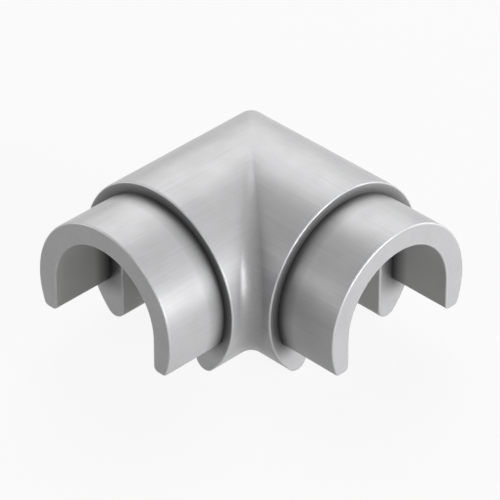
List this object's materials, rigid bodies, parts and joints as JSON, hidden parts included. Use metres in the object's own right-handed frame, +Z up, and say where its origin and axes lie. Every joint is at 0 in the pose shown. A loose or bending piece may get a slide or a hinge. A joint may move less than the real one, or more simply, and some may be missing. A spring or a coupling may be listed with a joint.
{
  "type": "corner elbow",
  "caption": "Mitred right-angle corner elbow for a round slotted cap rail: a C-section body with a C-shaped plug-in spigot at each end.",
  "frame": {"origin": "crossing of the two rail axes, which is also the centre of the slot's round top at the corner", "axes": "+Z up, away from the open slot; one rail runs along +X and the other along -Y, so the outer ridge of the mitre is on the -X +Y side"},
  "size_m": [0.0711, 0.0711, 0.0421],
  "materials": {
    "satin_steel": "satin cast stainless steel"
  },
  "bodies": {
    "root": {"corner_elbow": "satin_steel"}
  },
  "joints": []
}
